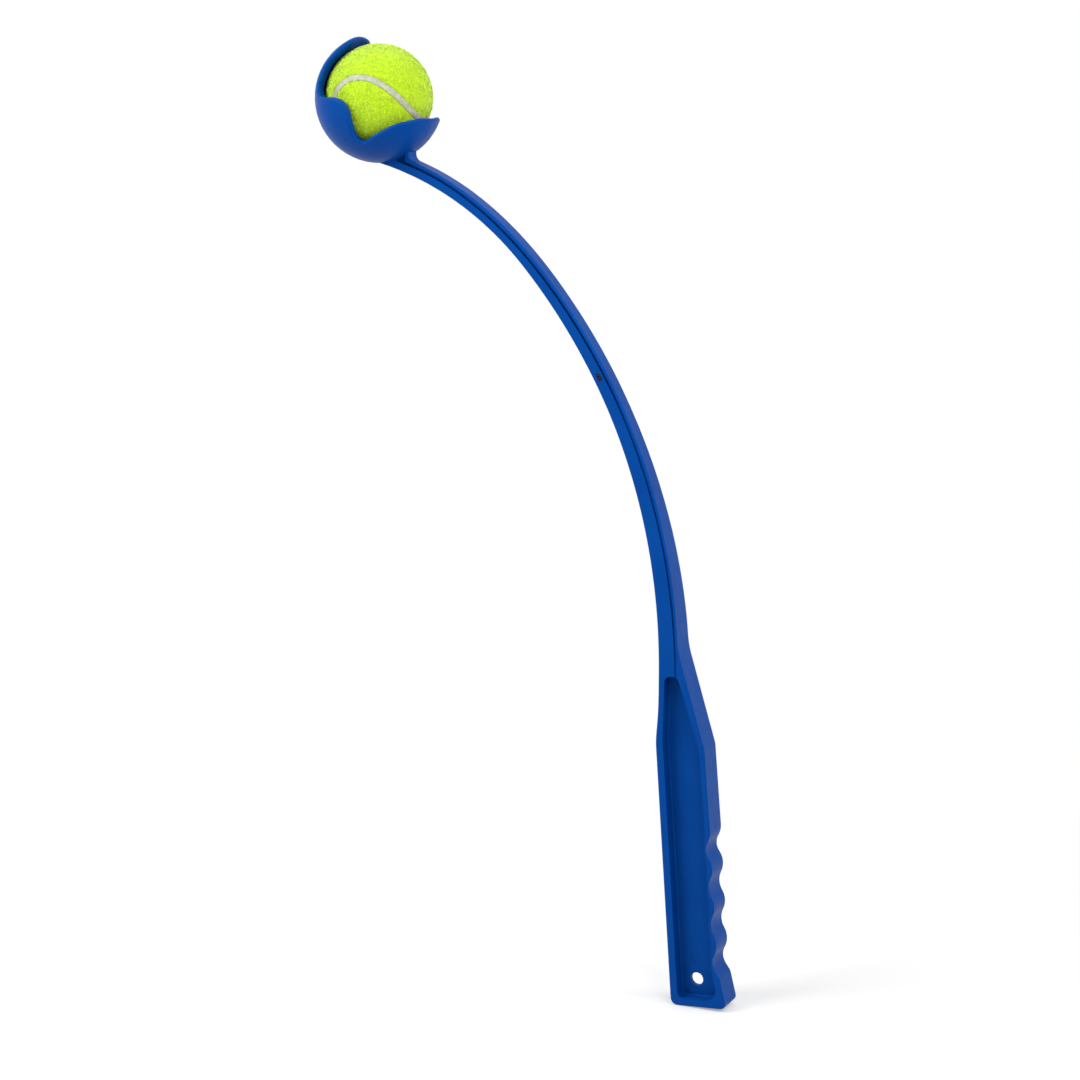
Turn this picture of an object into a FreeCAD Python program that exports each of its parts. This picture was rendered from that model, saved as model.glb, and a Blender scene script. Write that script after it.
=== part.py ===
"""A hand-swung dog ball launcher, holding its ball.

The launcher is one plastic moulding: a round cup, a long curved arm and a tray handle with finger
scallops. It is an H section, cored from both sides, with its parting plane at Y = 0. The ball is a
pressed rubber core in two halves, with two felt panels and a rubber seam between them.

Millimetres. The origin is the centre of the hang hole in the handle, +Z is up along the launcher, +X is
the side of the fingers and -X is the side that the arm bends to.
"""
import FreeCAD, Part
import math
import os

# Handle: sizes are along its own axis, which leans, and across it, both from the hang hole
handle_lean = 4.06
handle_width = 18.5
back_across = 14.92
front_across = 17.06
butt_along = 15.13
kink_along = 148.77
kink_radius = 50.0
waist_height = 168.0
waist_radius = 220.0
shoulder_along = 145.03
shoulder_across = 16.26
shoulder_radius = 14.0
butt_back_radius = 4.5
butt_front_radius = 3.5

# Finger scallops down the front of the handle
scallop_count = 4
scallop_pitch = 23.4
scallop_depth = 3.0
first_scallop_along = 83.33
heel_along = 3.73
heel_across = 18.06
heel_radius = 5.0
flare_across = 21.36

# Recess on each side of the handle, down to the web at the middle
web_thickness = 2.6
back_rim = 4.78
front_rim = 3.15
butt_rim = 4.6
flare_rim = 5.05
recess_ripple = 0.9
recess_top_gap = 0.83
recess_arch_rim = 3.84
recess_arch_width = 8.4
recess_arch_radius = 4.0
recess_shoulder_radius = 28.0
recess_back_corner_radius = 3.5
recess_front_corner_radius = 7.0
recess_floor_radius = 1.0
witness_mark_diameter = 7.0
witness_mark_depth = 0.25
witness_mark_along = 13.8

# Arm: its inner edge is an arc that runs into a tighter one at the neck
arm_root_height = 188.9
arm_set_in = 1.59
bend_radius = 352.92
bend_angle = 42.39
neck_radius = 193.46
neck_turn = 27.95
root_depth = 12.56
neck_depth = 8.18
arm_stations = 8
flare_top_along = 14.7
flare_top_run = 12.0
flare_top_radius = 60.0
arm_upper_width = 10.8
arm_neck_width = 10.4
width_blend_start = 1.5
width_blend_length = 165.0
side_edge_radius = 0.9
neck_corner_radius = 6.5

# Groove along both sides of the arm, opening into a pocket at the neck and fading out at the handle
outer_flange_neck = 1.9
outer_flange_root = 1.0
groove_width_neck = 1.7
groove_width_root = 1.0
groove_depth_arm = 1.4
groove_depth_neck = 3.2
groove_fade_height = 160.0
groove_run_out = 0.2
neck_wall_thickness = 1.9
pocket_reach = 7.5

# Cup, about the centre of the seated ball
ball_diameter = 65.0
seat_clearance = 1.25
cup_wall = 5.0
mouth_clearance = 0.4
neck_bite = 4.13
neck_tuck = 5.41
mouth_from_neck = 115.34
rim_outer_radius = 1.4
rim_inner_radius = 0.8

# Rim of the cup, seen from the side with the mouth upwards: how far across and up, and the rounding
finger_corner = (-31.6, 14.6, 8.0)
finger_side = (-30.3, -3.7, 15.0)
crook = (-20.3, -18.8, 6.0)
jaw_peak = (-1.6, -0.1, 10.6)
notch = (19.2, -18.8, 4.3)
lip_side = (26.9, 7.1, 20.0)
lip_shoulder = (32.2, 17.1, 4.5)
finger_top_slant = 45.0
lip_top_slant = 8.0

# Holes
hang_hole_diameter = 8.0
tag_slot_length = 5.5
tag_slot_width = 3.2
tag_slot_along = 179.5
tag_slot_from_inner = 3.9

# Ball
felt_thickness = 2.9
rubber_wall = 3.4
bond_thickness = 0.3
seam_width = 2.5
seam_sink = 0.4
seam_turn = 52.4
seam_tilt = -43.4
seam_lobe = 0.22
seam_stations = 48

# Shares of a distance or a radius at which a shape or a cutter ends, inside or beyond what it joins or cuts
neck_run_in = 0.75
wall_run_in = 0.4
width_hold = 0.25
pocket_run_in = 0.5
band_from = 0.9
band_to = 1.1

# Worked out from the sizes above
lean = math.radians(handle_lean)
bend = math.radians(bend_angle)
ball_radius = ball_diameter / 2
cup_inner_radius = ball_radius + seat_clearance
cup_outer_radius = cup_inner_radius + cup_wall
felt_inner_radius = ball_radius - felt_thickness
core_inner_radius = felt_inner_radius - rubber_wall
reach = 1000.0
near = 0.01


def at(x, z, y=0.0):
    """A point, or a direction, in the part's frame."""
    return FreeCAD.Vector(x, y, z)


def on_handle(along, across):
    """A point of the middle plane, from its distances along and across the handle's axis."""
    return at(across * math.cos(lean) - along * math.sin(lean),
              across * math.sin(lean) + along * math.cos(lean))


arm_back = on_handle(kink_along, -back_across).x + arm_set_in
bend_centre = at(arm_back - bend_radius, arm_root_height)
neck_centre = bend_centre + at(math.cos(bend), math.sin(bend)) * (bend_radius - neck_radius)
bend_length = bend_radius * bend
arm_length = bend_length + neck_radius * math.radians(neck_turn)


def on_arm(along, outwards):
    """A point of the middle plane, from its distance along the arm's inner edge and out from it."""
    if along <= bend_length:
        angle = along / bend_radius
        return bend_centre + at(math.cos(angle), math.sin(angle)) * (bend_radius + outwards)
    angle = bend + (along - bend_length) / neck_radius
    return neck_centre + at(math.cos(angle), math.sin(angle)) * (neck_radius + outwards)


def arm_depth(along):
    """The arm's depth in the middle plane: it thins evenly from the root to the neck."""
    return root_depth + (neck_depth - root_depth) * min(along / bend_length, 1.0)


heading = bend + math.radians(neck_turn)
cup_ahead = cup_outer_radius - neck_tuck
cup_outboard = cup_outer_radius - neck_bite
neck_forward = at(-math.sin(heading), math.cos(heading))
neck_outward = at(math.cos(heading), math.sin(heading))
ball_centre = on_arm(arm_length, 0.0) + neck_forward * cup_ahead + neck_outward * cup_outboard
mouth_angle = heading + math.pi / 2 - math.radians(mouth_from_neck)
mouth_axis = at(math.cos(mouth_angle), math.sin(mouth_angle))
mouth_across = at(math.sin(mouth_angle), -math.cos(mouth_angle))


def in_cup(across, up):
    """A point of the middle plane, in the cup's own frame."""
    return ball_centre + mouth_across * across + mouth_axis * up


def rounded(corners, closed=False):
    """Lines through the corners, each a point and a radius, with tangent arcs at the corners."""
    edges = []
    count = len(corners)
    cuts = []
    for i in range(count):
        point, radius = corners[i]
        if radius == 0 or (not closed and i in (0, count - 1)):
            cuts.append((point, None, point))
            continue
        before = point - corners[i - 1][0]
        after = corners[(i + 1) % count][0] - point
        turn = before.getAngle(after)
        shorter = min(before.Length, after.Length)
        trim = min(radius * math.tan(turn / 2), shorter / 2)
        radius = trim / math.tan(turn / 2)
        before.normalize()
        after.normalize()
        inwards = (after - before).normalize()
        middle = point + inwards * (radius / math.cos(turn / 2) - radius)
        cuts.append((point - before * trim, middle, point + after * trim))
    for i in range(count):
        start, middle, end = cuts[i]
        if middle:
            edges.append(Part.Arc(start, middle, end).toShape())
        if i == count - 1 and not closed:
            break
        following = cuts[(i + 1) % count][0]
        if end.distanceToPoint(following) > 1e-4:
            edges.append(Part.LineSegment(end, following).toShape())
    return edges


def slab(edges, low, high):
    """The outline, drawn in the middle plane, made solid from one Y to another."""
    outline = Part.Wire(Part.__sortEdges__(edges))
    face = Part.Face(outline)
    face.translate(FreeCAD.Vector(0, low, 0))
    return face.extrude(FreeCAD.Vector(0, high - low, 0))


def ripples(crest, depth):
    """Corners of a row of scallops down the handle's front, ready to be rounded."""
    slope = 2 * math.atan(2 * depth / scallop_pitch)
    radius = scallop_pitch / (4 * math.sin(slope))
    overshoot = radius / math.cos(slope) - radius
    lead = radius * math.tan(slope / 2)
    top = first_scallop_along + scallop_pitch / 2
    corners = [(on_handle(top - lead, crest), radius)]
    for i in range(scallop_count):
        trough = first_scallop_along - i * scallop_pitch
        if i > 0:
            corners.append((on_handle(trough + scallop_pitch / 2, crest + overshoot), radius))
        corners.append((on_handle(trough, crest - depth - overshoot), radius))
    return corners


def neck_wall():
    """The top and foot of the neck's outer wall, which drops from the cup to the arm's outer edge."""
    foot = on_arm(arm_length, arm_depth(arm_length))
    ahead = foot.x - ball_centre.x
    into_wall = cup_inner_radius + wall_run_in * cup_wall
    return at(foot.x, ball_centre.z - math.sqrt(into_wall ** 2 - ahead ** 2)), foot


def side_outline():
    """The launcher's outline in the middle plane, from the butt up to inside the cup."""
    root = on_arm(0.0, 0.0)
    bend_end = on_arm(bend_length, 0.0)
    into_cup = on_arm(arm_length + neck_run_in * cup_ahead, 0.0)
    wall_top, wall_foot = neck_wall()
    outer = outer_edge_points(arm_length - neck_corner_radius, flare_top_along + flare_top_run)
    outer_edge = curve_through(outer)

    front = [(outer[-1], 0.0),
             (on_arm(flare_top_along, arm_depth(flare_top_along)), flare_top_radius),
             (on_handle(shoulder_along, shoulder_across), shoulder_radius)]
    front += ripples(front_across, scallop_depth)
    front += [(on_handle(heel_along, heel_across), heel_radius),
              (on_handle(-butt_along, flare_across), butt_front_radius),
              (on_handle(-butt_along, -back_across), butt_back_radius),
              (on_handle(kink_along, -back_across), kink_radius),
              (at(arm_back, waist_height), waist_radius),
              (root, 0.0)]

    edges = rounded(front)
    edges.append(Part.Arc(root, on_arm(bend_length / 2, 0.0), bend_end).toShape())
    edges.append(Part.Arc(bend_end, on_arm(arm_length, 0.0), into_cup).toShape())
    edges += rounded([(into_cup, 0.0), (ball_centre, 0.0), (wall_top, 0.0),
                      (wall_foot, neck_corner_radius), (outer[0], 0.0)])
    edges.append(outer_edge)
    return edges


def outer_edge_points(top, bottom):
    """Points of the middle plane down the arm's outer edge."""
    points = []
    for i in range(arm_stations + 1):
        along = top + (bottom - top) * i / arm_stations
        points.append(on_arm(along, arm_depth(along)))
    return points


def curve_through(points):
    """A smooth edge through points."""
    curve = Part.BSplineCurve()
    curve.interpolate(points)
    return curve.toShape()


def within_width(side):
    """All that lies between the middle plane and a line of edges that climbs beside it."""
    bottom = side[0].Vertexes[0].Point
    top = side[-1].Vertexes[-1].Point
    corners = [top, at(0, reach, top.y), at(0, reach), at(0, -reach), at(0, -reach, bottom.y), bottom]
    edges = side + rounded([(corner, 0.0) for corner in corners])
    face = Part.Face(Part.Wire(Part.__sortEdges__(edges)))
    face.translate(FreeCAD.Vector(-reach, 0, 0))
    return face.extrude(FreeCAD.Vector(2 * reach, 0, 0))


def side_edges(solid):
    """The edges at the launcher's side, where it meets the walls that stand square to it."""
    found = []
    for face in solid.Faces:
        u0, u1, v0, v1 = face.ParameterRange
        if abs(face.normalAt((u0 + u1) / 2, (v0 + v1) / 2).y) > near:
            continue
        for edge in face.Edges:
            middle = (edge.FirstParameter + edge.LastParameter) / 2
            runs_along = abs(edge.tangentAt(middle).y) < 0.5
            outside = any((v.Point - ball_centre).Length > cup_outer_radius for v in edge.Vertexes)
            if runs_along and outside and edge.valueAt(middle).y > web_thickness:
                found.append(edge)
    return found


def half_bar():
    """Half of the handle, arm and neck, from the middle plane out, with its side edges rounded."""
    start = arm_root_height + width_blend_start
    end = start + width_blend_length
    hold = width_blend_length * width_hold
    blend = Part.BezierCurve()
    blend.setPoles([at(0, start, handle_width / 2), at(0, start + hold, handle_width / 2),
                    at(0, end - hold, arm_upper_width / 2), at(0, end, arm_upper_width / 2)])
    taper = Part.LineSegment(at(0, end, arm_upper_width / 2), at(0, ball_centre.z, arm_neck_width / 2))
    bar = slab(side_outline(), 0.0, handle_width)
    bar = bar.common(within_width([blend.toShape(), taper.toShape()])).Solids[0]
    return bar.makeFillet(side_edge_radius, side_edges(bar))


def recess():
    """The recess in one side of the handle, down to the web."""
    back = -back_across + back_rim
    front = front_across - front_rim
    floor = -butt_along + butt_rim
    arch_back = at(arm_back + recess_arch_rim, arm_root_height - recess_top_gap)
    arch_front = arch_back + at(recess_arch_width, 0.0)
    corners = [(on_handle(floor, back), recess_back_corner_radius),
               (on_handle(kink_along, back), kink_radius),
               (arch_back, recess_arch_radius),
               (arch_front, recess_arch_radius),
               (on_handle(shoulder_along, shoulder_across - front_rim), recess_shoulder_radius)]
    corners += ripples(front, recess_ripple)
    corners.append((on_handle(floor, flare_across - flare_rim), recess_front_corner_radius))
    return slab(rounded(corners, closed=True), web_thickness / 2, handle_width)


def with_recess(bar):
    """The bar with the recess cut in it and the edge round the recess's floor rounded."""
    tool = recess()
    bar = bar.cut(tool)
    floor = []
    for edge in bar.Edges:
        middle = edge.valueAt((edge.FirstParameter + edge.LastParameter) / 2)
        runs_along = abs(edge.tangentAt(edge.FirstParameter).y) < 0.5
        on_web = middle.y < web_thickness / 2 + near
        if runs_along and on_web and tool.Shells[0].distToShape(Part.Vertex(middle))[0] < near:
            floor.append(edge)
    return bar.makeFillet(recess_floor_radius, floor)


def groove():
    """The groove under the arm's outer edge, with the pocket that it opens into at the neck."""
    bottom = groove_fade_height - arm_root_height
    upper = []
    lower = []
    for i in range(arm_stations + 1):
        down = i / arm_stations
        along = arm_length + (bottom - arm_length) * down
        flange = outer_flange_neck + (outer_flange_root - outer_flange_neck) * down
        width = groove_width_neck + (groove_width_root - groove_width_neck) * down
        upper.append(on_arm(along, arm_depth(along) - flange))
        lower.append(on_arm(along, arm_depth(along) - flange - width))
    flange = neck_depth - outer_flange_neck - groove_width_neck
    flange_end = on_arm(arm_length + pocket_reach, flange)
    inside = ball_centre + (flange_end - ball_centre) * pocket_run_in
    wall_top = neck_wall()[0] - at(neck_wall_thickness, 0.0)
    wall_corner = on_arm(arm_length + neck_wall_thickness, neck_depth - outer_flange_neck)
    edges = [curve_through(upper), curve_through(lower)]
    edges += rounded([(lower[0], 0.0), (flange_end, 0.0), (inside, 0.0), (wall_top, 0.0),
                      (wall_corner, neck_corner_radius), (upper[0], 0.0)])
    edges.append(Part.LineSegment(upper[-1], lower[-1]).toShape())
    arm_floor = arm_upper_width / 2 - groove_depth_arm
    neck_floor = arm_neck_width / 2 - groove_depth_neck
    blend_end = arm_root_height + width_blend_start + width_blend_length
    floor = rounded([(at(0, groove_fade_height, handle_width / 2 + groove_run_out), 0.0),
                     (at(0, blend_end, arm_floor), 0.0),
                     (at(0, ball_centre.z, neck_floor), 0.0)])
    return slab(edges, 0.0, handle_width).cut(within_width(floor))


def rim_cut():
    """What is cut away above the cup's wavy rim, the same through the whole width."""
    named = [finger_corner, finger_side, crook, jaw_peak, notch, lip_side, lip_shoulder]
    corners = [(in_cup(across, up), radius) for across, up, radius in named]
    finger_slant = math.radians(90 + finger_top_slant)
    lip_slant = math.radians(lip_top_slant)
    past_finger = in_cup(finger_corner[0] + reach * math.cos(finger_slant),
                         finger_corner[1] + reach * math.sin(finger_slant))
    past_lip = in_cup(lip_shoulder[0] + reach * math.cos(lip_slant),
                      lip_shoulder[1] + reach * math.sin(lip_slant))
    corners += [(past_lip, 0.0), (past_finger, 0.0)]
    return slab(rounded(corners, closed=True), -reach, reach)


def rim_edges(cup, radius=None):
    """The rim's edges, or only those on the sphere of one radius about the ball's centre."""
    found = []
    for face in cup.Faces:
        u0, u1, v0, v1 = face.ParameterRange
        if face.Surface.TypeId == "Part::GeomSphere":
            continue
        if abs(face.normalAt((u0 + u1) / 2, (v0 + v1) / 2).y) > near:
            continue
        for edge in face.Edges:
            middle = (edge.FirstParameter + edge.LastParameter) / 2
            point = edge.valueAt(middle)
            on_sphere = radius is None or abs((point - ball_centre).Length - radius) < near
            in_plane = abs(edge.tangentAt(middle).y) < 1 - near
            if point.y > near and in_plane and on_sphere:
                found.append(edge)
    return found


def half_cup():
    """Half of the cup: a shell round the ball, clear of the ball's way out, with a rounded rim."""
    shell = Part.makeSphere(cup_outer_radius, ball_centre)
    shell = shell.cut(Part.makeSphere(cup_inner_radius, ball_centre))
    shell = shell.cut(Part.makeCylinder(ball_radius + mouth_clearance, reach, ball_centre, mouth_axis))
    shell = shell.cut(Part.makeBox(2 * reach, reach, 2 * reach, at(-reach, -reach, -reach)))
    shell = shell.cut(rim_cut())
    shell = shell.makeFillet(rim_outer_radius, rim_edges(shell, cup_outer_radius))
    return shell.makeFillet(rim_inner_radius, rim_edges(shell))


def tag_slot():
    """The slot through the arm for a tag's tie, longer along the arm."""
    middle = on_arm(tag_slot_along, tag_slot_from_inner)
    angle = tag_slot_along / bend_radius
    along = at(-math.sin(angle), math.cos(angle))
    across = at(math.cos(angle), math.sin(angle))
    half_run = (tag_slot_length - tag_slot_width) / 2
    radius = tag_slot_width / 2
    ends = [middle + along * half_run, middle - along * half_run]
    edges = [Part.Arc(ends[0] + across * radius, ends[0] + along * radius, ends[0] - across * radius).toShape(),
             Part.LineSegment(ends[0] - across * radius, ends[1] - across * radius).toShape(),
             Part.Arc(ends[1] - across * radius, ends[1] - along * radius, ends[1] + across * radius).toShape(),
             Part.LineSegment(ends[1] + across * radius, ends[0] + across * radius).toShape()]
    return slab(edges, -handle_width, handle_width)


def disc(diameter, centre, low, high):
    """A round plug through part of the width."""
    return Part.makeCylinder(diameter / 2, high - low, centre + FreeCAD.Vector(0, low, 0),
                             FreeCAD.Vector(0, 1, 0))


def launcher_moulding():
    """The whole moulding: two mirrored halves that meet at the parting plane, and its holes."""
    bar = with_recess(half_bar()).cut(groove())
    bar = bar.cut(Part.makeSphere(cup_inner_radius + cup_wall / 2, ball_centre))
    half = bar.fuse(half_cup())
    mark = disc(witness_mark_diameter, on_handle(witness_mark_along, 0.0),
                web_thickness / 2 - witness_mark_depth, handle_width / 2)
    half = half.cut(mark)
    whole = half.fuse(half.mirror(FreeCAD.Vector(0, 0, 0), FreeCAD.Vector(0, 1, 0))).removeSplitter()
    whole = whole.cut(disc(hang_hole_diameter, at(0.0, 0.0), -handle_width, handle_width))
    return whole.cut(tag_slot()).Solids[0]


def felt_shell(outer):
    """A hollow ball as thick as the felt, in its own frame, in quarters so that no face goes all round."""
    middle = FreeCAD.Vector(0, 0, 0)
    upright = FreeCAD.Vector(0, 0, 1)
    quarters = []
    for i in range(4):
        quarter = Part.makeSphere(outer, middle, upright, -90, 90, 90)
        quarter = quarter.cut(Part.makeSphere(felt_inner_radius, middle, upright, -90, 90, 90))
        quarter.rotate(middle, upright, 90 * i)
        quarters.append(quarter)
    return quarters[0].multiFuse(quarters[1:])


def seam_direction(angle, aside):
    """A direction from the ball's centre to the seam, moved aside along the surface by an angle.

    It is in the felt's own frame: each panel has its middle on Z, and the seam is furthest from the
    panels' middles above and below X.
    """
    angle += math.pi / 4
    straight = 1 - seam_lobe
    lift = 2 * math.sqrt(seam_lobe * straight)
    middle = FreeCAD.Vector(straight * math.cos(angle) + seam_lobe * math.cos(3 * angle),
                            straight * math.sin(angle) - seam_lobe * math.sin(3 * angle),
                            lift * math.sin(2 * angle))
    forward = FreeCAD.Vector(-straight * math.sin(angle) - 3 * seam_lobe * math.sin(3 * angle),
                             straight * math.cos(angle) - 3 * seam_lobe * math.cos(3 * angle),
                             2 * lift * math.cos(2 * angle))
    side = middle.cross(forward).normalize()
    return FreeCAD.Rotation(-45, 0, 0).multVec(middle * math.cos(aside) + side * math.sin(aside))


def seam_edge(radius, aside):
    """A closed edge along the seam, at a radius from the ball's centre."""
    points = [seam_direction(2 * math.pi * i / seam_stations, aside) * radius
              for i in range(seam_stations)]
    curve = Part.BSplineCurve()
    curve.interpolate(Points=points, PeriodicFlag=True)
    return curve.toShape()


def seam_band():
    """A closed band along the seam, as wide as the seam, from inside the felt to outside it."""
    aside = seam_width / ball_diameter
    inner = felt_inner_radius * band_from
    outer = ball_radius * band_to
    loop = [seam_edge(inner, -aside), seam_edge(outer, -aside), seam_edge(outer, aside),
            seam_edge(inner, aside)]
    walls = [Part.makeRuledSurface(loop[i], loop[(i + 1) % 4]) for i in range(4)]
    shell = Part.makeShell(walls)
    shell.sewShape()
    return Part.makeSolid(shell)


def core_parts():
    """The core's two halves, which part across X, and the ring of cement between them."""
    across = FreeCAD.Vector(1, 0, 0)
    core = Part.makeSphere(felt_inner_radius, ball_centre, across)
    core = core.cut(Part.makeSphere(core_inner_radius, ball_centre, across))
    left = Part.makeBox(ball_radius - bond_thickness / 2, ball_diameter, ball_diameter,
                        ball_centre - FreeCAD.Vector(ball_radius, ball_radius, ball_radius))
    bond_start = ball_centre - across * (bond_thickness / 2)
    bond = Part.makeCylinder(felt_inner_radius, bond_thickness, bond_start, across)
    bond = bond.cut(Part.makeCylinder(core_inner_radius, bond_thickness, bond_start, across))
    return core.common(left), core.common(left.mirror(ball_centre, across)), bond


def felt_parts():
    """The lower felt panel, the upper one and the seam, turned as they lie on the seated ball."""
    band = seam_band()
    panels = felt_shell(ball_radius).cut(band).Solids
    seam = felt_shell(ball_radius - seam_sink).common(band)
    turn = FreeCAD.Rotation(seam_turn, seam_tilt, 0).multiply(FreeCAD.Rotation(45, 0, 0))
    for shape in panels + [seam]:
        shape.Placement = FreeCAD.Placement(ball_centre, turn)
    panels.sort(key=lambda panel: panel.CenterOfMass.z)
    return panels[0], panels[1], seam


def ball_parts():
    """The ball's pieces by name."""
    left, right, bond = core_parts()
    lower, upper, seam = felt_parts()
    return {
        "ball_core_half_left": left,
        "ball_core_half_right": right,
        "ball_core_bond_ring": bond,
        "ball_felt_panel_a": lower,
        "ball_felt_panel_b": upper,
        "ball_seam": seam,
    }


def main():
    os.makedirs("parts", exist_ok=True)
    parts = {"launcher_moulding": launcher_moulding()}
    parts.update(ball_parts())
    for name, shape in parts.items():
        shape = shape.Solids[0]
        shape.exportStep(f"parts/{name}.step")
        print(name, shape.isValid(), round(shape.Volume))
    print("ball centre", ball_centre, "mouth axis", mouth_axis)


main()
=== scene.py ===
"""Looks of the dog ball launcher and its ball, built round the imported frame."""
import math

import bmesh
import bpy
import numpy as np
from mathutils import Euler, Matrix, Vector


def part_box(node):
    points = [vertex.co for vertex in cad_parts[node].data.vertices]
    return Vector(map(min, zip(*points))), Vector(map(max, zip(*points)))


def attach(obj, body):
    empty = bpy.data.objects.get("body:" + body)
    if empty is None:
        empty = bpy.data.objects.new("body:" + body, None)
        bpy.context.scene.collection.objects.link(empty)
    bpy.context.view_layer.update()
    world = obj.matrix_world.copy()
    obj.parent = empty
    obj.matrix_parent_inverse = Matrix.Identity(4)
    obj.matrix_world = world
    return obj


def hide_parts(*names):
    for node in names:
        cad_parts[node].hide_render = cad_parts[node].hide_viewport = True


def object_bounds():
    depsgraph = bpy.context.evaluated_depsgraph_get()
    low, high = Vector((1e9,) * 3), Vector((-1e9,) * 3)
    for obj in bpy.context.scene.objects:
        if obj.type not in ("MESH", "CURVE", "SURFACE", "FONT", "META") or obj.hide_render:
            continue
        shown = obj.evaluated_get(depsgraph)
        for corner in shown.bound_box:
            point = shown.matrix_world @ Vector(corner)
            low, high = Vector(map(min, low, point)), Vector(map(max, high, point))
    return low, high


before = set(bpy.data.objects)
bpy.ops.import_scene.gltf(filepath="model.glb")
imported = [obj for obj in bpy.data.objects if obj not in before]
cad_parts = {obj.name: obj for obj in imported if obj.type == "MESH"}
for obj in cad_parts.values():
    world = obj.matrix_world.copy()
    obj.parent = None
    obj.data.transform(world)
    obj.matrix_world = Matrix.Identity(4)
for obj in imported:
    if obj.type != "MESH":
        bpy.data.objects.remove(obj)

cad_box = [list(corner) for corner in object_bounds()]

MM = 0.001

# Camera: the photograph's angle, distance and lens
CAMERA_AZIMUTH = 26.0
CAMERA_ELEVATION = 11.25
CAMERA_DISTANCE = 1.6
CAMERA_TARGET = Vector((-0.1062, 0.0, 0.2609))
CAMERA_LENS = 88.46
CAMERA_SENSOR = 36.0
CAMERA_FAR_LIMIT = 50.0

# Skin of the moulding: how wide its flow marks, scuffs and mould grain are, and the flash to each side of
# the parting plane. Real mould grain is about 0.1 mm wide, and is drawn as coarse as it needs to show
FLOW_MARK = 35.7 * MM
SCUFF = 6.25 * MM
MOULD_GRAIN = 0.91 * MM
GRAIN_HEIGHT = 0.1 * MM
FLASH_FLAT = 0.08 * MM
FLASH_REACH = 0.3 * MM
FLASH_HEIGHT = 0.08 * MM

# Ball: the seam's line is the one in the part's source, and its width is the one seen between the naps
BALL_RADIUS = 32.5 * MM
SEAM_WIDTH = 3.2 * MM
SEAM_TURN = 52.4
SEAM_TILT = -43.4
SEAM_LOBE = 0.22
SEAM_SAMPLES = 900
SAMPLED_AT_ONCE = 4000

# Seam's strip: tucked in under the felt on both sides, sunk below the nap, with a low crown
SEAM_STEPS = 420
SEAM_LANES = 8
SEAM_TUCK = 0.62
SEAM_SINK = 0.75 * MM
SEAM_CROWN = 0.2 * MM
SEAM_THICKNESS = 1.6 * MM
DUST_PATCH = 2.86 * MM
DUST_HEIGHT = 0.2 * MM
WELD = 0.02 * MM

# Felt sheet: a fine ball that rounds down to the seam and reaches a little way over its middle
SHEET_FINENESS = 6
SHEET_THICKNESS = 1.2 * MM
SHEET_OVERLAP = 0.2 * MM
FELT_ROUNDING = 1.3 * MM
FELT_DIP = 1.0 * MM
FELT_PATCH = 3.03 * MM

# Nap of the felt: fibres that stand up from the sheet in tufts and curl over. Each panel takes the draws
# that fall on its side. Ranges, rises, reaches and widths are shares of the nap's depth or of a fibre's
# length or width
TUFTS_PER_PANEL = 5200
DRAWS_PER_TUFT = 2.4
FIBRES_PER_TUFT = 7
TUFT_SPREAD = 0.3 * MM
TUFT_DISORDER = 0.8
TUFT_CLEARANCE = 0.15 * MM
FIBRE_LENGTH = 1.5 * MM
FIBRE_WIDTH = 0.11 * MM
FIBRE_ROOT = 0.2 * MM
NAP_DEPTH = 0.75 * MM
NAP_OVERSHOOT = 0.2 * MM
LENGTH_RANGE = (0.6, 1.25)
STAND_RANGE = (0.45, 1.25)
CURL_RANGE = (-0.45, 0.45)
BEND_RISE = 0.8
BEND_REACH = 0.4
TIP_REACH = 0.85
ROOT_WIDTH = 0.8
BEND_WIDTH = 1.0
TIP_WIDTH = 0.4
NAP_SEED_A = 11
NAP_SEED_B = 12

# Bloom on the rubber of the core
BLOOM_PATCH = 5.0 * MM

# Studio
WORLD_LIGHT = 0.45
FLOOR_SIZE = 12.0
FLOOR_GLOW = 0.35
SHADOW_REACH = (0.1, 0.5)


def linear(code):
    """The linear colour of an sRGB hex code, with alpha."""
    parts = [int(code[i:i + 2], 16) / 255 for i in (1, 3, 5)]
    return [p / 12.92 if p <= 0.04045 else ((p + 0.055) / 1.055) ** 2.4 for p in parts] + [1.0]


def add(tree, kind, links=None, **settings):
    """Adds a node with its settings, socket values and links, given as socket: value or output."""
    node = tree.nodes.new(kind)
    for name, value in settings.items():
        setattr(node, name, value)
    for socket, value in (links or {}).items():
        if isinstance(value, bpy.types.NodeSocket):
            tree.links.new(value, node.inputs[socket])
        else:
            node.inputs[socket].default_value = value
    return node


def new_material(name):
    """An empty material: its tree and its output node."""
    material = bpy.data.materials.new(name)
    material.use_nodes = True
    tree = material.node_tree
    tree.nodes.clear()
    return material, tree, tree.nodes.new("ShaderNodeOutputMaterial")


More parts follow.
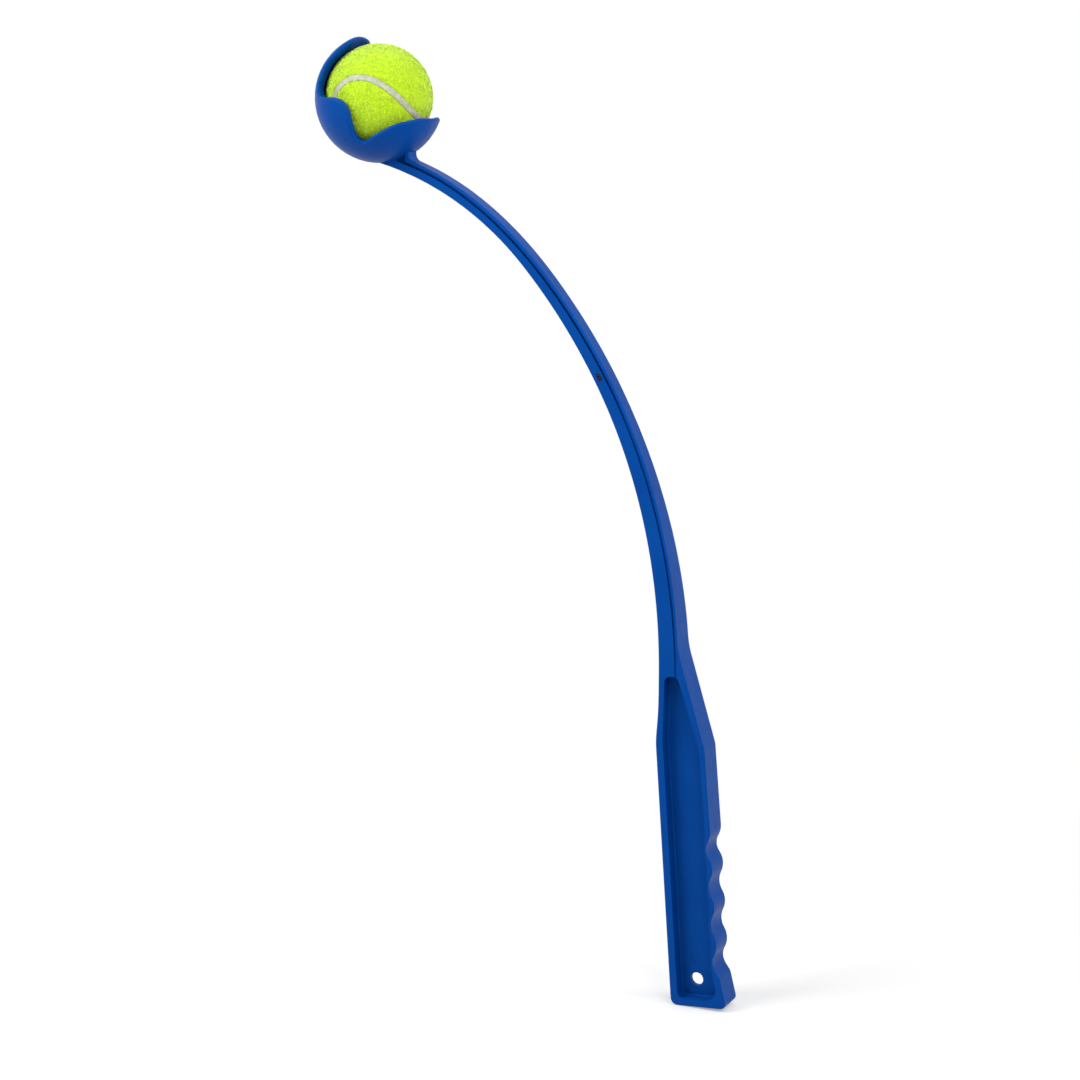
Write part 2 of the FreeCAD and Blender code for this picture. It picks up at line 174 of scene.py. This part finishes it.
def moulded_polypropylene():
    """Injection-moulded polypropylene, pigmented deep blue: a satin skin off a fine-textured steel mould,
    with faint flow mottling, light handling scuffs and a hairline of flash at the parting plane. The
    photograph shows hardly any white gloss on it, so its specular level is far below the typical one."""
    material, tree, out = new_material("moulded blue polypropylene")
    place = add(tree, "ShaderNodeTexCoord").outputs["Object"]
    flow = add(tree, "ShaderNodeTexNoise", {
        "Vector": place, "Scale": 1 / FLOW_MARK, "Detail": 3.0, "Roughness": 0.55})
    colour = add(tree, "ShaderNodeValToRGB", {"Fac": flow.outputs["Fac"]})
    colour.color_ramp.elements[0].position = 0.3
    colour.color_ramp.elements[0].color = linear("#023a84")
    colour.color_ramp.elements[1].position = 0.7
    colour.color_ramp.elements[1].color = linear("#033f8a")
    scuff = add(tree, "ShaderNodeTexNoise", {
        "Vector": place, "Scale": 1 / SCUFF, "Detail": 4.0, "Roughness": 0.6})
    gloss = add(tree, "ShaderNodeMapRange", {
        "Value": scuff.outputs["Fac"], "From Min": 0.3, "From Max": 0.7, "To Min": 0.36, "To Max": 0.46})
    grain = add(tree, "ShaderNodeTexNoise", {
        "Vector": place, "Scale": 1 / MOULD_GRAIN, "Detail": 2.0, "Roughness": 0.5})
    skin = add(tree, "ShaderNodeBump", {
        "Height": grain.outputs["Fac"], "Strength": 0.035, "Distance": GRAIN_HEIGHT})
    split = add(tree, "ShaderNodeSeparateXYZ", {"Vector": place})
    off = add(tree, "ShaderNodeMath", {0: split.outputs["Y"]}, operation="ABSOLUTE")
    flash = add(tree, "ShaderNodeMapRange", {
        "Value": off.outputs[0], "From Min": FLASH_FLAT, "From Max": FLASH_REACH,
        "To Min": 1.0, "To Max": 0.0})
    line = add(tree, "ShaderNodeBump", {
        "Height": flash.outputs[0], "Strength": 0.35, "Distance": FLASH_HEIGHT, "Normal": skin.outputs[0]})
    shader = add(tree, "ShaderNodeBsdfPrincipled", {
        "Base Color": colour.outputs["Color"], "Roughness": gloss.outputs[0], "IOR": 1.49,
        "Specular IOR Level": 0.09, "Specular Tint": (0.25, 0.6, 1.0, 1.0), "Normal": line.outputs[0]})
    tree.links.new(shader.outputs[0], out.inputs["Surface"])
    return material


def needled_felt():
    """Needled wool and nylon felt, dyed optic yellow, with painted shade in the nap: its colour goes from
    pale yellow-green at the fibres' tips down to a painted deep green-yellow among the roots, where shade
    falls, with a matt, fuzzy glow at the edges."""
    material, tree, out = new_material("needled optic yellow felt, painted shade at the roots")
    place = add(tree, "ShaderNodeTexCoord").outputs["Object"]
    middle = add(tree, "ShaderNodeVectorMath", {0: place, 1: BALL_CENTRE}, operation="SUBTRACT")
    reach = add(tree, "ShaderNodeVectorMath", {0: middle.outputs["Vector"]}, operation="LENGTH")
    height = add(tree, "ShaderNodeMapRange", {
        "Value": reach.outputs["Value"], "From Min": BALL_RADIUS - NAP_DEPTH - FIBRE_ROOT,
        "From Max": BALL_RADIUS + NAP_OVERSHOOT})
    patch = add(tree, "ShaderNodeTexNoise", {
        "Vector": place, "Scale": 1 / FELT_PATCH, "Detail": 3.0, "Roughness": 0.7})
    blend = add(tree, "ShaderNodeMath", {0: patch.outputs["Fac"], 1: 0.5, 2: -0.25},
                operation="MULTIPLY_ADD")
    depth = add(tree, "ShaderNodeMath", {0: height.outputs[0], 1: blend.outputs[0]}, operation="ADD")
    # Painted shade: the deeper a point lies in the nap, the darker its colour, so the sheet between the
    # tufts takes the darkest of it; the noise patch shifts it at random
    colour = add(tree, "ShaderNodeValToRGB", {"Fac": depth.outputs[0]})
    colour.color_ramp.elements[0].position = 0.1
    colour.color_ramp.elements[0].color = linear("#a2c708")
    colour.color_ramp.elements[1].position = 0.9
    colour.color_ramp.elements[1].color = linear("#dcf444")
    shader = add(tree, "ShaderNodeBsdfPrincipled", {
        "Base Color": colour.outputs["Color"], "Roughness": 0.95,
        "Sheen Weight": 0.35, "Sheen Roughness": 0.45, "Specular IOR Level": 0.15})
    tree.links.new(shader.outputs[0], out.inputs["Surface"])
    return material


def seam_rubber():
    """Vulcanised rubber seam: a smooth pale strip, slightly matt, dusted by the felt beside it."""
    material, tree, out = new_material("vulcanised seam rubber")
    place = add(tree, "ShaderNodeTexCoord").outputs["Object"]
    dust = add(tree, "ShaderNodeTexNoise", {
        "Vector": place, "Scale": 1 / DUST_PATCH, "Detail": 3.0, "Roughness": 0.6})
    colour = add(tree, "ShaderNodeValToRGB", {"Fac": dust.outputs["Fac"]})
    colour.color_ramp.elements[0].position = 0.35
    colour.color_ramp.elements[0].color = linear("#8d8f7c")
    colour.color_ramp.elements[1].position = 0.65
    colour.color_ramp.elements[1].color = linear("#adae9f")
    bump = add(tree, "ShaderNodeBump", {
        "Height": dust.outputs["Fac"], "Strength": 0.3, "Distance": DUST_HEIGHT})
    shader = add(tree, "ShaderNodeBsdfPrincipled", {
        "Base Color": colour.outputs["Color"], "Roughness": 0.6, "IOR": 1.52, "Normal": bump.outputs[0]})
    tree.links.new(shader.outputs[0], out.inputs["Surface"])
    return material


def plain_rubber(name, low, high):
    """Rubber or cement inside the ball, never seen while it is whole: matt, with a faint bloom."""
    material, tree, out = new_material(name)
    place = add(tree, "ShaderNodeTexCoord").outputs["Object"]
    bloom = add(tree, "ShaderNodeTexNoise", {"Vector": place, "Scale": 1 / BLOOM_PATCH, "Detail": 3.0})
    colour = add(tree, "ShaderNodeValToRGB", {"Fac": bloom.outputs["Fac"]})
    colour.color_ramp.elements[0].color = linear(low)
    colour.color_ramp.elements[1].color = linear(high)
    shader = add(tree, "ShaderNodeBsdfPrincipled", {
        "Base Color": colour.outputs["Color"], "Roughness": 0.8, "IOR": 1.52})
    tree.links.new(shader.outputs[0], out.inputs["Surface"])
    return material


def paint(node, material):
    """Gives a CAD node its material."""
    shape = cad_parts[node].data
    shape.materials.clear()
    shape.materials.append(material)


def ball_middle():
    """The ball's centre, from the two halves of its core."""
    low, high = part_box("ball_core_half_left")
    low2, high2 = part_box("ball_core_half_right")
    return Vector([(min(low[i], low2[i]) + max(high[i], high2[i])) / 2 for i in range(3)])


BALL_CENTRE = ball_middle()
SEAM_FACING = np.array(Euler((0.0, math.radians(SEAM_TILT), math.radians(SEAM_TURN)), "XYZ").to_matrix())


def seam_frame(angle):
    """Directions from the ball's centre to the seam at an angle round it, and aside from it."""
    straight = 1 - SEAM_LOBE
    lift = 2 * math.sqrt(SEAM_LOBE * straight)
    middle = np.stack([straight * np.cos(angle) + SEAM_LOBE * np.cos(3 * angle),
                       straight * np.sin(angle) - SEAM_LOBE * np.sin(3 * angle),
                       lift * np.sin(2 * angle)], axis=-1)
    forward = np.stack([-straight * np.sin(angle) - 3 * SEAM_LOBE * np.sin(3 * angle),
                        straight * np.cos(angle) - 3 * SEAM_LOBE * np.cos(3 * angle),
                        2 * lift * np.cos(2 * angle)], axis=-1)
    side = np.cross(middle, forward)
    side /= np.linalg.norm(side, axis=-1, keepdims=True)
    return middle @ SEAM_FACING.T, side @ SEAM_FACING.T


def seam_offsets(directions):
    """How far each direction lies to one side of the seam's middle, in metres along the ball."""
    around, aside = seam_frame(np.linspace(0.0, 2 * math.pi, SEAM_SAMPLES, endpoint=False))
    offsets = []
    for some in np.array_split(directions, max(1, len(directions) // SAMPLED_AT_ONCE)):
        nearest = np.argmax(some @ around.T, axis=1)
        turn = np.arccos(np.clip(np.sum(some * around[nearest], axis=1), -1.0, 1.0))
        offsets.append(turn * np.sign(np.sum(some * aside[nearest], axis=1)) * BALL_RADIUS)
    return np.concatenate(offsets)


def finished(name, shape, material, node, body):
    """Makes a bmesh a piece that stands for a CAD node and rides on a body."""
    data = bpy.data.meshes.new(name)
    shape.to_mesh(data)
    shape.free()
    data.materials.append(material)
    data.shade_smooth()
    piece = bpy.data.objects.new(name, data)
    bpy.context.collection.objects.link(piece)
    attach(piece, body)
    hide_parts(node)
    return piece


def sheet_height(offsets):
    """How far the felt sheet's face lies from the ball's centre, rounding down towards the seam."""
    edge = np.clip((offsets - SEAM_WIDTH / 2) / FELT_ROUNDING, 0.0, 1.0)
    return BALL_RADIUS - NAP_DEPTH - (1.0 - np.sqrt(1.0 - (1.0 - edge) ** 2)) * FELT_DIP


def outwards(vectors):
    """The vectors, each made one long."""
    return vectors / np.linalg.norm(vectors, axis=1, keepdims=True)


def tufts(sign, rng):
    """Directions to the fibres' roots, in small tufts over one panel, and the way that each fibre leans."""
    middles = outwards(rng.normal(size=(int(TUFTS_PER_PANEL * DRAWS_PER_TUFT), 3)))
    on_panel = seam_offsets(middles) * sign > SEAM_WIDTH / 2 + TUFT_CLEARANCE
    middles = middles[on_panel][:TUFTS_PER_PANEL]
    combing = rng.normal(size=middles.shape)
    up = np.repeat(middles, FIBRES_PER_TUFT, axis=0)
    up = outwards(up + rng.normal(size=up.shape) * TUFT_SPREAD / BALL_RADIUS)
    lean = np.repeat(combing, FIBRES_PER_TUFT, axis=0) + TUFT_DISORDER * rng.normal(size=up.shape)
    return up, outwards(lean - up * np.sum(lean * up, axis=1, keepdims=True))


def nap(sign, rng):
    """The fibres of one panel: narrow strips two faces long, each rising from the sheet and curling over.
    They come from one long grid, two faces deep, with every second column of it taken out."""
    up, lean = tufts(sign, rng)
    count = len(up)
    columns = 2 * count - 1
    strips = bmesh.new()
    bmesh.ops.create_grid(strips, x_segments=columns, y_segments=2, size=1.0)
    between = [face for number, face in enumerate(strips.faces) if number % columns % 2]
    bmesh.ops.delete(strips, geom=between, context="FACES")
    data = bpy.data.meshes.new("nap strips")
    strips.to_mesh(data)
    strips.free()
    side = np.cross(up, lean)
    length = FIBRE_LENGTH * rng.uniform(*LENGTH_RANGE, (count, 1))
    stand = NAP_DEPTH * rng.uniform(*STAND_RANGE, (count, 1))
    curl = rng.uniform(*CURL_RANGE, (count, 1)) * length
    sheet = sheet_height(seam_offsets(up) * sign)[:, None]
    root = np.array(BALL_CENTRE) + up * (sheet - FIBRE_ROOT)
    bend = root + up * (FIBRE_ROOT + BEND_RISE * stand) + lean * BEND_REACH * length
    tip = root + up * (FIBRE_ROOT + stand) + lean * TIP_REACH * length + side * curl
    rows = []
    for middle, share in ((root, ROOT_WIDTH), (bend, BEND_WIDTH), (tip, TIP_WIDTH)):
        half = side * FIBRE_WIDTH * share / 2
        rows.append(np.stack([middle - half, middle + half], axis=1).reshape(-1, 3))
    data.vertices.foreach_set("co", np.concatenate(rows).astype(np.float32).ravel())
    return data


def felt_panel(name, sign, node, material, seed):
    """One felt panel: its side of a ball, dipping at the seam, given its thickness and its nap."""
    shape = bmesh.new()
    bmesh.ops.create_icosphere(shape, subdivisions=SHEET_FINENESS, radius=1.0)
    directions = outwards(np.array([v.co for v in shape.verts]))
    offsets = seam_offsets(directions) * sign
    far = [v for v, offset in zip(shape.verts, offsets) if offset < -SHEET_OVERLAP]
    for vertex, direction, height in zip(shape.verts, directions, sheet_height(offsets)):
        vertex.co = BALL_CENTRE + Vector(direction) * height
    bmesh.ops.delete(shape, geom=far, context="VERTS")
    bmesh.ops.solidify(shape, geom=shape.faces[:], thickness=SHEET_THICKNESS)
    bmesh.ops.recalc_face_normals(shape, faces=shape.faces[:])
    strips = nap(sign, np.random.default_rng(seed))
    shape.from_mesh(strips)
    bpy.data.meshes.remove(strips)
    return finished(name, shape, material, node, "ball")


def seam_strip(material):
    """The rubber seam: a strip laid round the ball between the panels, with its ends welded."""
    shape = bmesh.new()
    bmesh.ops.create_grid(shape, x_segments=SEAM_STEPS, y_segments=SEAM_LANES, size=1.0)
    spots = np.array([v.co for v in shape.verts])
    around, aside = seam_frame((spots[:, 0] + 1.0) * math.pi)
    lane = spots[:, 1]
    turn = (lane * SEAM_WIDTH * SEAM_TUCK / BALL_RADIUS)[:, None]
    directions = around * np.cos(turn) + aside * np.sin(turn)
    crown = BALL_RADIUS - SEAM_SINK + SEAM_CROWN * (1.0 - lane ** 2)
    for vertex, direction, radius in zip(shape.verts, directions, crown):
        vertex.co = BALL_CENTRE + Vector(direction) * radius
    bmesh.ops.remove_doubles(shape, verts=shape.verts[:], dist=WELD)
    bmesh.ops.solidify(shape, geom=shape.faces[:], thickness=SEAM_THICKNESS)
    bmesh.ops.recalc_face_normals(shape, faces=shape.faces[:])
    return finished("ball_seam_strip", shape, material, "ball_seam", "ball")


def camera():
    """The photograph's camera."""
    data = bpy.data.cameras.new("photo view")
    data.lens = CAMERA_LENS
    data.sensor_width = CAMERA_SENSOR
    data.clip_end = CAMERA_FAR_LIMIT
    eye = bpy.data.objects.new("photo view", data)
    azimuth, elevation = math.radians(CAMERA_AZIMUTH), math.radians(CAMERA_ELEVATION)
    back = Vector((math.sin(azimuth) * math.cos(elevation), -math.cos(azimuth) * math.cos(elevation),
                   math.sin(elevation)))
    eye.location = CAMERA_TARGET + back * CAMERA_DISTANCE
    eye.rotation_mode = "QUATERNION"
    eye.rotation_quaternion = (-back).to_track_quat("-Z", "Y")
    bpy.context.collection.objects.link(eye)
    bpy.context.scene.camera = eye


def softbox(name, azimuth, elevation, distance, size, power, target=CAMERA_TARGET):
    """A square soft lamp aimed at a target, placed by its direction from it."""
    data = bpy.data.lights.new(name, "AREA")
    data.size = size
    data.energy = power
    lamp = bpy.data.objects.new(name, data)
    turn, lift = math.radians(azimuth), math.radians(elevation)
    out = Vector((math.sin(turn) * math.cos(lift), -math.cos(turn) * math.cos(lift), math.sin(lift)))
    lamp.location = target + out * distance
    lamp.rotation_mode = "QUATERNION"
    lamp.rotation_quaternion = (-out).to_track_quat("-Z", "Y")
    bpy.context.collection.objects.link(lamp)


def seen_directly(tree):
    """1 for rays that show the surround itself: from the camera, in a gloss or through something clear."""
    path = add(tree, "ShaderNodeLightPath")
    seen = add(tree, "ShaderNodeMath", {0: path.outputs["Is Camera Ray"], 1: path.outputs["Is Glossy Ray"]},
               operation="MAXIMUM")
    return add(tree, "ShaderNodeMath", {0: seen.outputs[0], 1: path.outputs["Is Transmission Ray"]},
               operation="MAXIMUM").outputs[0]


def surround():
    """The white surround that the camera sees, which lights the object more dimly than it looks."""
    world = bpy.data.worlds.new("studio")
    bpy.context.scene.world = world
    world.use_nodes = True
    tree = world.node_tree
    tree.nodes.clear()
    strength = add(tree, "ShaderNodeMapRange", {
        "Value": seen_directly(tree), "To Min": WORLD_LIGHT, "To Max": 1.0})
    sky = add(tree, "ShaderNodeBackground", {"Color": (1.0, 1.0, 1.0, 1.0), "Strength": strength.outputs[0]})
    add(tree, "ShaderNodeOutputWorld", {"Surface": sky.outputs[0]})


def paper_floor():
    """The floor under the butt: paper that keeps the shadow close by, and merges with the surround."""
    shape = bmesh.new()
    bmesh.ops.create_grid(shape, x_segments=1, y_segments=1, size=FLOOR_SIZE)
    bmesh.ops.translate(shape, verts=shape.verts[:], vec=(0.0, 0.0, cad_box[0][2]))
    data = bpy.data.meshes.new("studio floor")
    shape.to_mesh(data)
    shape.free()
    floor = bpy.data.objects.new("studio floor", data)
    bpy.context.collection.objects.link(floor)
    material, tree, out = new_material("white studio paper")
    place = add(tree, "ShaderNodeTexCoord").outputs["Object"]
    away = add(tree, "ShaderNodeVectorMath", {0: place}, operation="LENGTH")
    share = add(tree, "ShaderNodeMapRange", {
        "Value": away.outputs["Value"], "From Min": SHADOW_REACH[0], "From Max": SHADOW_REACH[1],
        "To Min": FLOOR_GLOW, "To Max": 1.0})
    paper = add(tree, "ShaderNodeBsdfDiffuse", {"Color": (0.8, 0.8, 0.8, 1.0)})
    glow = add(tree, "ShaderNodeEmission", {"Color": (1.0, 1.0, 1.0, 1.0), "Strength": 1.0})
    part = add(tree, "ShaderNodeMath", {0: seen_directly(tree), 1: share.outputs[0]}, operation="MULTIPLY")
    mix = add(tree, "ShaderNodeMixShader", {0: part.outputs[0], 1: paper.outputs[0], 2: glow.outputs[0]})
    tree.links.new(mix.outputs[0], out.inputs["Surface"])
    data.materials.append(material)


def lamps():
    """The soft lamps, in degrees, metres and watts."""
    softbox("key lamp, front left", azimuth=-42.0, elevation=38.0, distance=1.4, size=0.7, power=17.0)
    softbox("side lamp, right", azimuth=95.0, elevation=36.0, distance=2.2, size=1.1, power=20.0)
    softbox("ball lamp, right of the camera", azimuth=58.0, elevation=22.0, distance=0.75, size=0.35,
            power=3.2, target=BALL_CENTRE)
    softbox("top lamp, behind", azimuth=190.0, elevation=62.0, distance=2.6, size=1.6, power=12.0)


def main():
    """Sets up the studio, then dresses the launcher and the ball."""
    bpy.context.scene.view_settings.view_transform = "Standard"
    camera()
    surround()
    paper_floor()
    lamps()
    paint("launcher_moulding", moulded_polypropylene())
    core = plain_rubber("pressed core rubber", "#2a2a27", "#3a3a35")
    for node in ("ball_core_half_left", "ball_core_half_right"):
        paint(node, core)
    paint("ball_core_bond_ring", plain_rubber("cured rubber cement", "#6b5a3a", "#7c6a48"))
    felt = needled_felt()
    felt_panel("ball_felt_nap_a", 1.0, "ball_felt_panel_a", felt, NAP_SEED_A)
    felt_panel("ball_felt_nap_b", -1.0, "ball_felt_panel_b", felt, NAP_SEED_B)
    seam_strip(seam_rubber())


main()
